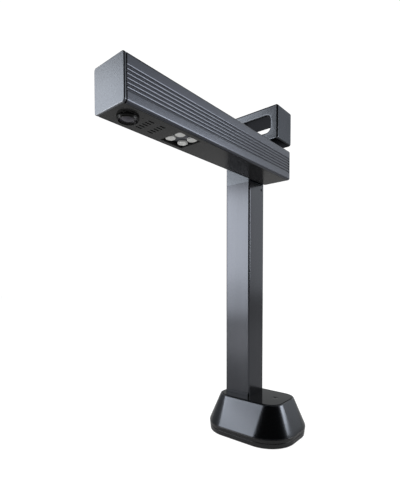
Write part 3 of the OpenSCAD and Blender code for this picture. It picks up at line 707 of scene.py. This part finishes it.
def head_outline():
    """Chamber over the column and the handle's loop, which reaches out over the arm, in X and Z."""
    x0, x1, z1 = HEAD_LO.x, HEAD_HI.x, HEAD_HI.z
    wall_x, loop_z = COL_HI.x, HEAD_HI.z - LOOP_H
    pts = [(x0, SEAM_Z - FOOT_SPARE), (wall_x, SEAM_Z - FOOT_SPARE)]
    pts += arc_pts(wall_x + LOOP_INNER_R, loop_z - LOOP_INNER_R, LOOP_INNER_R, 180, 90, 6)
    pts += arc_pts(x1 - LOOP_R, loop_z + LOOP_R, LOOP_R, 270, 360, 8)
    pts += arc_pts(x1 - LOOP_R, z1 - LOOP_R, LOOP_R, 0, 90, 8)
    pts += arc_pts(x0 + LOOP_R, z1 - LOOP_R, LOOP_R, 90, 180, 8)
    return pts


def build_head():
    """Head and handle, rounded all round but cut off square at the seam with the column."""
    x0, x1 = HEAD_LO.x, HEAD_HI.x
    slot = rounded(x1 - x0 - 2 * LOOP_BAR, LOOP_H - 2 * LOOP_BAR, SLOT_R,
                   (x0 + x1) / 2, HEAD_HI.z - LOOP_H / 2, 12)
    head = plate("head_and_handle", [head_outline(), slot], COL_LO.y, COL_HI.y, UPRIGHT_R, place_xz,
                 HEAD, "stand", ["head_frame"], rounds=5)
    pocket = rounded(BACK_W + 0.5 * MM, BACK_H + 0.5 * MM, 1 * MM, BACK_MID.x, BACK_MID.z, 3)
    foot = rounded(COL_HI.x - x0 + 2 * FOOT_SPARE, 2 * FOOT_SPARE, 0, (x0 + COL_HI.x) / 2,
                   SEAM_Z + SEAM_GAP - FOOT_SPARE, 1)
    carve(head, [prism(pocket, BACK_LO.y, COL_HI.y + SPARE, place_xz),
                 prism(foot, COL_LO.y - SPARE, COL_HI.y + 2 * SPARE, place_xz)])


def build_rear_cover():
    """Thin cover with four screw holes over a solid floor that the screw heads sit on."""
    loops = [rounded(BACK_W - 0.05 * MM, BACK_H - 0.05 * MM, 0.9 * MM, BACK_MID.x, BACK_MID.z, 3)]
    screws_lo, screws_hi = lo("head_screws"), hi("head_screws")
    for x in (screws_lo.x + BACK_SCREW_HEAD_R, screws_hi.x - BACK_SCREW_HEAD_R):
        for z in (screws_lo.z + BACK_SCREW_HEAD_R, screws_hi.z - BACK_SCREW_HEAD_R):
            loops.append(circle_pts(BACK_SCREW_HOLE_R, x, z, 28))
    plate("rear_cover", loops, BACK_HI.y - 1.0 * MM, BACK_HI.y, 0.2 * MM, place_xz, HEAD, "stand",
          ["head_cover"], rounds=2)
    inner = rounded(BACK_W - 1 * MM, BACK_H - 1 * MM, 0.8 * MM, BACK_MID.x, BACK_MID.z, 3)
    floor = prism(inner, BACK_LO.y, BACK_HI.y - 1.1 * MM, place_xz)
    finish_mesh("rear_cover_floor", floor, HEAD, "stand", [])


build_head()
build_rear_cover()

# ---------------------------------------------------------------- arm

CAP_Y, REAR_END_Y = lo("arm_front_cap").y, hi("arm_rear_cap").y
EXT_LO, EXT_HI = lo("arm_extrusion"), hi("arm_extrusion")
ARM_X, ARM_Z = mid("arm_extrusion").x, mid("arm_extrusion").z
ARM_W, ARM_H = EXT_HI.x - EXT_LO.x, EXT_HI.z - EXT_LO.z
ARM_R = 2.75 * MM
RIBS, PITCH, RIB_R, RIB_DEPTH, RIB_MID = 5, 3.65 * MM, 1.9 * MM, 0.9 * MM, 19.8 * MM
PANEL_W = 36 * MM
COVER_T = 2 * MM
CHANNEL_PLAY, CHANNEL_DEPTH = 0.3 * MM, COVER_T + 1 * MM
FRONT_CAP_T, FRONT_CAP_R, REAR_CAP_R = 2.2 * MM, 0.9 * MM, 2.9 * MM
COLLAR_INSET = 1.3 * MM


def rib_side(steps=7):
    """Ribbed side of the arm from bottom to top, as (depth in the face, height over the underside)."""
    half = math.sqrt(RIB_R ** 2 - (RIB_R - RIB_DEPTH) ** 2)
    pts = []
    for k in range(-1, RIBS + 1):
        centre = RIB_MID + (k - (RIBS - 1) / 2) * PITCH
        first = 0 if k == -1 else -half
        last = 0 if k == RIBS else half
        count = steps if first and last else steps // 2 + 1
        for i in range(count + 1):
            h = first + (last - first) * i / count
            pts.append((RIB_R - math.sqrt(RIB_R ** 2 - h * h), centre + h))
    return pts


def arm_outline():
    """Cross-section of the extrusion in X and Z, with ribbed sides and an open bottom channel."""
    x0, x1, z0, z1 = EXT_LO.x, EXT_HI.x, EXT_LO.z, EXT_HI.z
    r = ARM_R
    gap = (ARM_W - PANEL_W) / 2 - CHANNEL_PLAY
    side = rib_side()
    pts = arc_pts(x1 - r, z0 + r, r, 270, 360, 7)
    pts += [(x1 - depth, z0 + up) for depth, up in side]
    pts += arc_pts(x1 - r, z1 - r, r, 0, 90, 7)
    pts += arc_pts(x0 + r, z1 - r, r, 90, 180, 7)
    pts += [(x0 + depth, z0 + up) for depth, up in reversed(side)]
    pts += arc_pts(x0 + r, z0 + r, r, 180, 270, 7)
    pts += [(x0 + gap, z0), (x0 + gap, z0 + CHANNEL_DEPTH)]
    pts += [(x1 - gap, z0 + CHANNEL_DEPTH), (x1 - gap, z0)]
    return pts


def arm_ring(y, inset):
    """Outline of the arm's end caps at place y along the arm."""
    r = max(ARM_R - inset, 0.15 * MM)
    outline = rounded(ARM_W - 2 * inset, ARM_H - 2 * inset, r, ARM_X, ARM_Z, 8)
    return [Vector((x, y, z)) for x, z in outline]


def build_extrusion():
    plate("arm_profile", [arm_outline()], EXT_LO.y, EXT_HI.y - 0.12 * MM, 0.1 * MM, place_xz, ARM, "arm",
          ["arm_extrusion"], rounds=1)


def build_front_cap():
    """Plate with rounded edges and a black collar behind it that shows as a fine dark seam."""
    back = CAP_Y + FRONT_CAP_T
    rings = [arm_ring(CAP_Y + up, inset) for inset, up in fillet_steps(FRONT_CAP_R)]
    rings += [arm_ring(back - up, inset) for inset, up in reversed(fillet_steps(0.25 * MM, 2))]
    loft("front_cap", rings, CAP, "arm", ["arm_front_cap"])
    collar = [arm_ring(y, COLLAR_INSET) for y in (back - 0.3 * MM, EXT_LO.y + 2 * MM)]
    loft("cap_collar", collar, BLACK, "arm", [])


def build_rear_cap():
    rings = [arm_ring(EXT_HI.y + up, inset) for inset, up in fillet_steps(0.12 * MM, 2)]
    rings += [arm_ring(REAR_END_Y - up, inset) for inset, up in reversed(fillet_steps(REAR_CAP_R, 7))]
    loft("rear_cap", rings, TAIL, "arm", ["arm_rear_cap"])


build_extrusion()
build_front_cap()
build_rear_cap()

# ---------------------------------------------------------------- underside

UNDER = EXT_LO.z
LENS_Y = mid("lens_barrel").y
LENS_R = (hi("lens_barrel").x - lo("lens_barrel").x) / 2
LENS_HOLE_R = 9.6 * MM
COVER_LO_Y, COVER_HI_Y = CAP_Y + FRONT_CAP_T, hi("arm_bottom_cover").y
COVER_PLAY, LINING_PLAY = 0.4 * MM, 0.2 * MM
SHEET_T = 0.6 * MM
VENT_ROWS, VENTS, VENT_PITCH = (19.6 * MM, 33.5 * MM), 5, 4.35 * MM
VENT_W, VENT_L = 1.6 * MM, 7 * MM
MIC_R = 0.5 * MM
POCKET_Y = mid("lamp_bezel").y
POCKET_W, POCKET_D = 27.6 * MM, 31 * MM
POCKET_TERRACES = 4
LAMP_R, LAMP_H, LAMP_RIM = 5.35 * MM, 3.9 * MM, 0.35 * MM
LAMP_STEPS = 8


def cover_outline(play, length):
    return rounded(PANEL_W - 2 * play, length, 0.4 * MM, ARM_X, (COVER_LO_Y + COVER_HI_Y) / 2, 2)


def build_cover():
    """Glossy sheet with the lens hole, lamp pocket, vents and microphone hole, over a black lining."""
    length = COVER_HI_Y - COVER_LO_Y
    lens_hole = circle_pts(LENS_HOLE_R, ARM_X, LENS_Y, 64)
    pocket = rounded(POCKET_W, POCKET_D, 0.8 * MM, ARM_X, POCKET_Y, 4)
    loops = [cover_outline(COVER_PLAY, length), lens_hole, pocket]
    for behind in VENT_ROWS:
        for k in range(VENTS):
            x = ARM_X + (k - (VENTS - 1) / 2) * VENT_PITCH
            loops.append(rounded(VENT_W, VENT_L, 0.79 * MM, x, LENS_Y + behind, 4))
    mic = mid("microphone")
    loops.append(circle_pts(MIC_R, mic.x, mic.y, 16))
    plate("bottom_cover", loops, UNDER, UNDER + SHEET_T, 0.16 * MM, place_xy, COVER, "arm",
          ["arm_bottom_cover"], rounds=2)
    inner = cover_outline(COVER_PLAY + LINING_PLAY, length - 2 * LINING_PLAY)
    plate("cover_lining", [inner, lens_hole, pocket], UNDER + SHEET_T, UNDER + COVER_T, 0.1 * MM,
          place_xy, BLACK, "arm", [], rounds=1)


LENS_DROP = UNDER - lo("lens_barrel").z + 0.3 * MM


def build_lens_ring():
    """Stepped ring: a seat in the cover, a narrower nose and a sloping throat down to the glass."""
    drop = LENS_DROP
    tip = LENS_R - 0.6 * MM
    profile = [
        (0, 9 * MM), (7.4 * MM, 9 * MM), (7.4 * MM, 0.6 * MM), (8.0 * MM, -drop + 2.0 * MM),
        (8.55 * MM, -drop + 1.1 * MM), (8.65 * MM, -drop + 0.15 * MM), (8.8 * MM, -drop),
        (tip - 0.3 * MM, -drop), (tip - 0.08 * MM, -drop + 0.08 * MM), (tip, -drop + 0.3 * MM),
        (tip + 0.12 * MM, -drop + 1.1 * MM), (LENS_R - 0.25 * MM, -drop + 1.5 * MM),
        (LENS_R, -drop + 1.9 * MM), (LENS_R, -0.1 * MM), (LENS_R - 0.2 * MM, 0.25 * MM),
        (9.2 * MM, 0.25 * MM), (9.2 * MM, 9 * MM),
    ]
    lathe("lens_ring", profile, Vector((ARM_X, LENS_Y, UNDER)), RING, "arm", ["lens_barrel"],
          96)


def build_lens_glass():
    """Domed front element in a raised retaining ring, with a cone out to the throat."""
    core_r, ring_r, glass_r = 6.0 * MM, 6.5 * MM, 8.0 * MM
    crown, sag = -0.85 * MM, 1.35 * MM
    ring_z, cone_rise = 0.5 * MM, 0.42 * MM
    dome = [(core_r * k / 12, crown + sag * (k / 12) ** 2) for k in range(13)]
    dome += [(core_r + 0.12 * MM, 0.72 * MM), (core_r + 0.35 * MM, 0.72 * MM), (ring_r, ring_z)]
    dome += [(ring_r + (glass_r - ring_r) * k / 6, ring_z + cone_rise * k / 6) for k in range(1, 7)]
    dome.append((glass_r, 1.6 * MM))
    place = Vector((ARM_X, LENS_Y, UNDER - LENS_DROP + 1.0 * MM))
    lathe("lens_front_glass", dome, place, GLASS, "arm", ["lens_window"], 96)


def pocket_ring(inset, z, r):
    outline = rounded(POCKET_W - 2 * inset, POCKET_D - 2 * inset, r, ARM_X, POCKET_Y, 4)
    return [Vector((x, y, z)) for x, y in outline]


def build_pocket():
    """Terraced pocket around the lamps, a thin shell that is open below."""
    rings = []
    for k in range(POCKET_TERRACES):
        inset, z = (0.25 + 0.55 * k) * MM, UNDER + (0.25 + 0.95 * k) * MM
        rings.append(pocket_ring(inset, z, 0.9 * MM))
        rings.append(pocket_ring(inset + 0.1 * MM, z + 0.85 * MM, 0.9 * MM))
    rings.append(pocket_ring(inset + 0.2 * MM, z + 0.85 * MM, 0.7 * MM))
    bm = bmesh.new()
    rows = [[bm.verts.new(p) for p in ring] for ring in rings]
    for a, b in zip(rows, rows[1:]):
        for i in range(len(a)):
            j = (i + 1) % len(a)
            bm.faces.new((a[i], b[i], b[j], a[j]))
    bm.faces.new(rows[-1])
    piece = finish_mesh("lamp_pocket", bm, BEZEL, "arm", ["lamp_bezel"], smooth=30)
    wall = piece.modifiers.new("wall", "SOLIDIFY")
    wall.thickness = 0.5 * MM
    wall.offset = -1


def build_lamps():
    """Four round lenses with a faintly domed face; the first stands for the CAD node of all four."""
    rise = [((LAMP_R - LAMP_RIM) * k / LAMP_STEPS) for k in range(LAMP_STEPS + 1)]
    profile = [(r, 0.4 * MM * (r / LAMP_R) ** 3) for r in rise]
    profile += [(LAMP_R - 0.14 * MM, 0.48 * MM), (LAMP_R, 0.8 * MM), (LAMP_R, LAMP_H), (0, LAMP_H)]
    low, middle = lo("lamp_lenses"), mid("lamp_lenses")
    dx, dy = middle.x - low.x - LAMP_R, middle.y - low.y - LAMP_R
    spots = [(sx, sy) for sx in (-1, 1) for sy in (-1, 1)]
    for k, (sx, sy) in enumerate(spots):
        place = Vector((middle.x + sx * dx, middle.y + sy * dy, low.z))
        stands_for = ["lamp_lenses"] if k == 0 else []
        lathe(f"lamp_lens_{k + 1}", profile, place, LAMP, "arm", stands_for, 48)


build_cover()
build_lens_ring()
build_lens_glass()
build_pocket()
build_lamps()

# ---------------------------------------------------------------- carried-over CAD nodes

NODE_LOOKS = {
    "foot_ring": RUBBER, "ballast_plate": STEEL, "tray_screws": SCREW, "column_foot": STEEL,
    "foot_screws": SCREW, "base_board": BOARD, "usb_port": STEEL, "button_board": BOARD,
    "column_screws": BEZEL, "column_cable": CABLE, "head_screws": SCREW, "outer_bush": BRASS,
    "inner_bush": BRASS, "hinge_shaft": STEEL, "friction_discs": STEEL, "hinge_nut": STEEL,
    "stop_pin": STEEL, "shaft_screws": SCREW, "arm_spine": STEEL, "lens_holder": BLACK,
    "camera_board": BOARD, "camera_posts": BRASS, "lamp_board": LAMP_BOARD, "lamp_posts": BRASS,
    "microphone": STEEL, "vent_mesh": BLACK, "main_board": BOARD, "board_posts": BRASS,
    "arm_cable": CABLE,
}
for node, look in NODE_LOOKS.items():
    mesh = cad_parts[node].data
    mesh.materials.clear()
    mesh.materials.append(look)

# ---------------------------------------------------------------- floor and light

FLOOR_HALF = 6.0
PAPER_WHITE = 0.94
FLOOR_TONE = 0.14
FLOOR_GLOW = 0.25
ROOM_LIGHT, ROOM_SHADE, ROOM_WHITE = 0.82, 0.025, 1.05
ROOM_TINT = (0.95, 0.98, 1.0, 1)
DIM_SIDE = (0.62, -0.78, 0.0)
COOL = (0.94, 0.97, 1.0)


def add_floor():
    """Pale paper: white to the camera, and a soft grey in the light and reflections on the object."""
    bm = bmesh.new()
    bmesh.ops.create_grid(bm, x_segments=8, y_segments=8, size=FLOOR_HALF)
    mesh = bpy.data.meshes.new("floor")
    bm.to_mesh(mesh)
    bm.free()
    floor = bpy.data.objects.new("floor", mesh)
    bpy.context.scene.collection.objects.link(floor)
    look = Look("floor_paper", (0.12, 0.12, 0.12), 0.95)
    look.mottle(3, 0.004).grain(900, 0.02 * MM)
    look.shader.inputs["Emission Color"].default_value = (1, 1, 1, 1)
    look.shader.inputs["Emission Strength"].default_value = PAPER_WHITE
    soft = look.node("ShaderNodeBsdfDiffuse")
    soft.inputs["Color"].default_value = (FLOOR_TONE, FLOOR_TONE, FLOOR_TONE, 1)
    seen = look.node("ShaderNodeLightPath")
    lit = look.node("ShaderNodeEmission")
    lit.inputs["Strength"].default_value = FLOOR_GLOW
    both = look.node("ShaderNodeAddShader")
    look.link(soft.outputs["BSDF"], both.inputs[0])
    look.link(lit.outputs["Emission"], both.inputs[1])
    mix = look.node("ShaderNodeMixShader")
    look.link(seen.outputs["Is Camera Ray"], mix.inputs["Fac"])
    look.link(both.outputs["Shader"], mix.inputs[1])
    look.link(look.shader.outputs["BSDF"], mix.inputs[2])
    look.link(mix.outputs["Shader"], look.tree.nodes["Material Output"].inputs["Surface"])
    mesh.materials.append(look.mat)


def add_area(name, place, aim, size, radiance, color=(1, 1, 1), mirrored=True):
    """A soft box at a place, turned to its aim; radiance is its brightness per area and solid angle."""
    data = bpy.data.lights.new(name, "AREA")
    data.shape = "RECTANGLE"
    data.size, data.size_y = size
    data.energy = radiance * math.pi * size[0] * size[1]
    data.color = color
    lamp = bpy.data.objects.new(name, data)
    bpy.context.scene.collection.objects.link(lamp)
    lamp.location = place
    lamp.rotation_mode = "QUATERNION"
    lamp.rotation_quaternion = (Vector(aim) - Vector(place)).to_track_quat("-Z", "Y")
    lamp.visible_glossy = mirrored


def fade(nodes, links, value, start, end, low, high):
    """Smooth change from low to high as the value goes from start to end."""
    span = nodes.new("ShaderNodeMapRange")
    span.interpolation_type = "SMOOTHSTEP"
    span.inputs["From Min"].default_value = start
    span.inputs["From Max"].default_value = end
    span.inputs["To Min"].default_value = low
    span.inputs["To Max"].default_value = high
    links.new(value, span.inputs["Value"])
    return span.outputs["Result"]


def add_world():
    """Pale room, dimmer overhead, on the left and at one front corner for contrast in dark finishes."""
    world = bpy.data.worlds.new("studio")
    bpy.context.scene.world = world
    world.use_nodes = True
    nodes, links = world.node_tree.nodes, world.node_tree.links
    room = nodes["Background"]
    room.inputs["Color"].default_value = ROOM_TINT
    coords = nodes.new("ShaderNodeTexCoord")
    dot = nodes.new("ShaderNodeVectorMath")
    dot.operation = "DOT_PRODUCT"
    dot.inputs[1].default_value = DIM_SIDE
    axes = nodes.new("ShaderNodeSeparateXYZ")
    links.new(coords.outputs["Generated"], dot.inputs[0])
    links.new(coords.outputs["Generated"], axes.inputs["Vector"])
    around = fade(nodes, links, dot.outputs["Value"], 0.12, 0.58, ROOM_LIGHT, ROOM_SHADE)
    upward = fade(nodes, links, axes.outputs["Z"], 0.5, 0.92, 1.0, 0.12)
    leftward = fade(nodes, links, axes.outputs["X"], -0.62, -0.92, 1.0, 0.45)
    strength = around
    for share in (upward, leftward):
        both = nodes.new("ShaderNodeMath")
        both.operation = "MULTIPLY"
        links.new(strength, both.inputs[0])
        links.new(share, both.inputs[1])
        strength = both.outputs["Value"]
    links.new(strength, room.inputs["Strength"])
    paper = nodes.new("ShaderNodeBackground")
    paper.inputs["Color"].default_value = (1, 1, 1, 1)
    paper.inputs["Strength"].default_value = ROOM_WHITE
    seen = nodes.new("ShaderNodeLightPath")
    mix = nodes.new("ShaderNodeMixShader")
    links.new(seen.outputs["Is Camera Ray"], mix.inputs["Fac"])
    links.new(room.outputs["Background"], mix.inputs[1])
    links.new(paper.outputs["Background"], mix.inputs[2])
    links.new(mix.outputs["Shader"], nodes["World Output"].inputs["Surface"])


add_floor()
add_world()
# The key boxes stand where the left faces reflect them to the camera, and the right box does so for the
# narrow right faces. floor_wash and overhead only brighten the paper and the matt parts.
add_area("key_low", (-0.82, -1.17, 0.465), (-0.02, 0, 0.32), (0.55, 0.49), 4.3, COOL)
add_area("key_foot", (-0.82, -1.17, 0.13), (-0.02, 0, 0.32), (0.55, 0.18), 2.9, COOL)
add_area("key_high", (-1.02, -0.90, 0.90), (0.02, -0.27, 0.38), (0.5, 0.46), 3.7, COOL)
add_area("key_far", (-1.33, -1.81, 1.45), (0, 0, 0.03), (0.6, 0.42), 2.4, COOL)
add_area("right_box", (1.16, 0.69, 0.57), (0, 0, 0.25), (0.66, 0.60), 6.0, COOL)
add_area("floor_wash", (-0.47, -0.74, 0.40), (-0.47, -0.74, 0), (0.36, 0.36), 40.0, mirrored=False)
add_area("overhead", (0, 0, 2.0), (0, 0, 0), (2.0, 2.0), 4.0, mirrored=False)
bpy.context.scene.view_settings.view_transform = "Standard"
